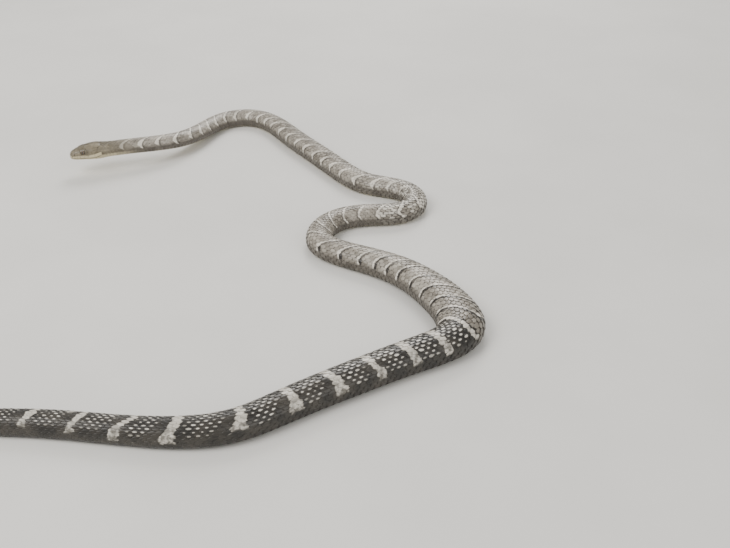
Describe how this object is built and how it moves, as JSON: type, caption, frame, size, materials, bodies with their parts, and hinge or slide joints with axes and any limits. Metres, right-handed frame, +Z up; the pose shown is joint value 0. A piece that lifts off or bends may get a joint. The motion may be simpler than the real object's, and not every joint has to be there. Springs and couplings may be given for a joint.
{
  "type": "king cobra",
  "caption": "Still, life-size king cobra lying in loose bends on the floor, head held just clear, with belly scutes and head shields.",
  "frame": {"origin": "on the floor, at the middle of the box round the whole animal", "axes": "+X to the right and +Y away from the viewer as the picture looks, +Z up from the floor"},
  "size_m": [1.3232, 1.1406, 0.0609],
  "materials": {
    "rear_skin": "satin black scales with pale cross-bands",
    "front_skin": "satin grey-brown scales with thin pale rings",
    "head_skin": "satin olive-brown shields edged in black",
    "eye": "wet gloss, bronze iris and round pupil"
  },
  "bodies": {
    "root": {"tail_tip": "rear_skin", "tail_base": "rear_skin", "body_01": "rear_skin", "body_02": "rear_skin", "body_03": "rear_skin", "body_04": "rear_skin", "body_05": "front_skin", "body_06": "front_skin", "body_07": "front_skin", "body_08": "front_skin", "body_09": "front_skin", "body_10": "front_skin", "body_11": "front_skin", "body_12": "front_skin", "body_13": "front_skin", "neck": "front_skin", "head": "head_skin", "lower_jaw": "head_skin", "eye_left": "eye", "eye_right": "eye"}
  },
  "joints": []
}
